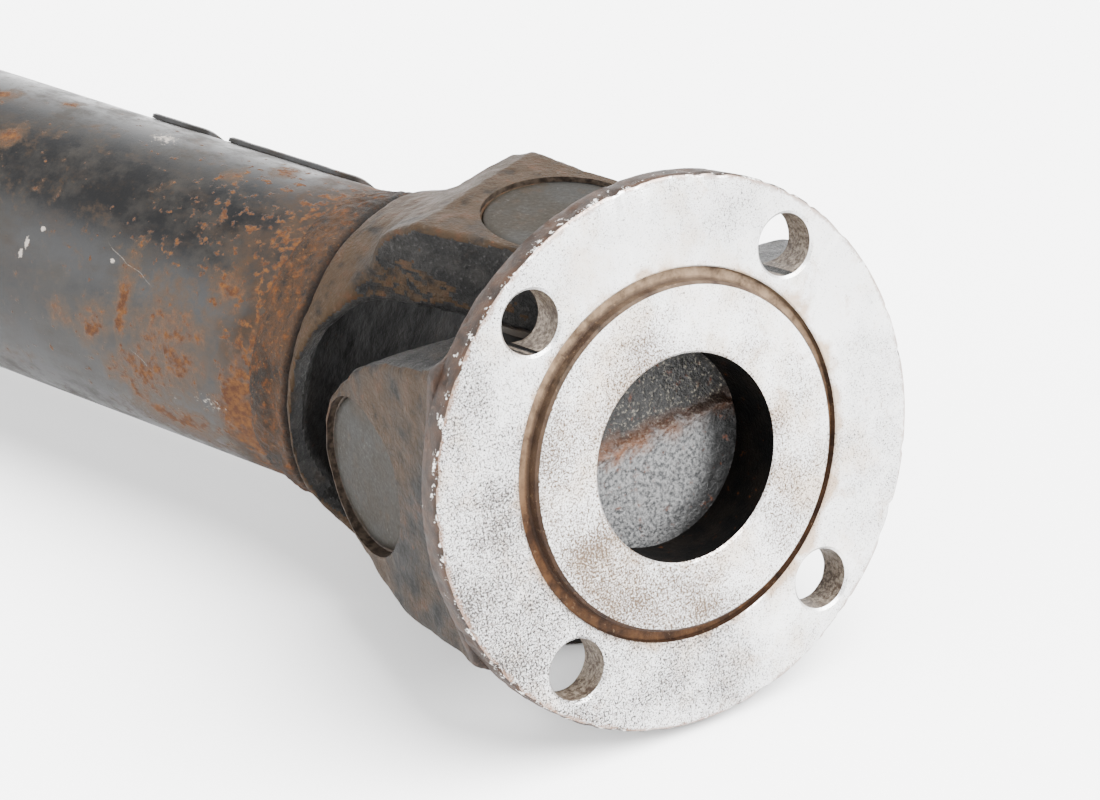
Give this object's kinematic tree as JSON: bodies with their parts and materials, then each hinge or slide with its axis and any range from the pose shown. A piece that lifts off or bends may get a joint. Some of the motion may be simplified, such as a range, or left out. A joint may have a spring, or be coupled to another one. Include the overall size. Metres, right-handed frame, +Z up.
{
  "type": "universal joint shaft",
  "caption": "Tubular propeller shaft with a cross joint and round bolt flange at each end and a splined slip joint for length change.",
  "frame": {"origin": "centre of flange A's mounting face", "axes": "+X along the tube towards flange A; +Z up, along the tube yoke's trunnion axis; +Y to the left, seen from flange B. Flange A is swung 22 degrees towards -Y and tilted 14 degrees up, and flange B the same way, turned about +Z by half a turn"},
  "size_m": [0.6821, 0.1452, 0.1186],
  "materials": {
    "tube_paint": "worn semi-gloss black paint with rust spots",
    "rusty_weld": "rusted weld bead",
    "rusty_forging": "rusted forging",
    "flange_steel": "machined face with rust speckle, rusted rim and ears",
    "machined_steel": "ground",
    "dull_steel": "dull",
    "cup_steel": "dull grey with light rust",
    "plated_steel": "zinc plated",
    "seal_rubber": "matt"
  },
  "bodies": {
    "tube_body": {"tube": "tube_paint", "tube_weld_a": "rusty_weld", "tube_weld_b": "rusty_weld", "balance_weight_1": "tube_paint", "balance_weight_2": "tube_paint", "balance_weight_3": "tube_paint", "tube_yoke": "rusty_forging", "stub_shaft": "machined_steel", "cups_tube_yoke": "cup_steel", "needles_tube_yoke": "machined_steel", "seals_tube_yoke": "seal_rubber", "washers_tube_yoke": "dull_steel", "clips_tube_yoke": "dull_steel"},
    "cross_a_body": {"cross_a": "dull_steel", "cross_a_nipple": "plated_steel"},
    "flange_a_body": {"flange_yoke_a": "flange_steel", "cups_flange_yoke_a": "cup_steel", "needles_flange_yoke_a": "machined_steel", "seals_flange_yoke_a": "seal_rubber", "washers_flange_yoke_a": "dull_steel", "clips_flange_yoke_a": "dull_steel"},
    "slip_body": {"slip_yoke": "rusty_forging", "dust_cap": "dull_steel", "dust_seal": "seal_rubber", "core_plug": "dull_steel", "slip_grease_nipple": "plated_steel", "cups_slip_yoke": "cup_steel", "needles_slip_yoke": "machined_steel", "seals_slip_yoke": "seal_rubber", "washers_slip_yoke": "dull_steel", "clips_slip_yoke": "dull_steel"},
    "cross_b_body": {"cross_b": "dull_steel", "cross_b_nipple": "plated_steel"},
    "flange_b_body": {"flange_yoke_b": "flange_steel", "cups_flange_yoke_b": "cup_steel", "needles_flange_yoke_b": "machined_steel", "seals_flange_yoke_b": "seal_rubber", "washers_flange_yoke_b": "dull_steel", "clips_flange_yoke_b": "dull_steel"}
  },
  "joints": [
    {"name": "cross_a_swing", "type": "hinge", "parent": "tube_body", "child": "cross_a_body", "pos_m": [-0.04228, 0.01708, -0.01137], "axis": [0, 0, 1], "range_deg": [-3, 47]},
    {"name": "flange_a_tilt", "type": "hinge", "parent": "cross_a_body", "child": "flange_a_body", "pos_m": [-0.04228, 0.01708, -0.01137], "axis": [0.3746, 0.9272, 0], "range_deg": [-4, 32]},
    {"name": "slip", "type": "slide", "parent": "tube_body", "child": "slip_body", "axis": [1, 0, 0], "range_m": [-0.025, 0.025]},
    {"name": "cross_b_swing", "type": "hinge", "parent": "slip_body", "child": "cross_b_body", "pos_m": [-0.58828, 0.01708, -0.01137], "axis": [0, 0, 1], "range_deg": [-3, 47]},
    {"name": "flange_b_tilt", "type": "hinge", "parent": "cross_b_body", "child": "flange_b_body", "pos_m": [-0.58828, 0.01708, -0.01137], "axis": [-0.3746, -0.9272, 0], "range_deg": [-4, 32]}
  ]
}
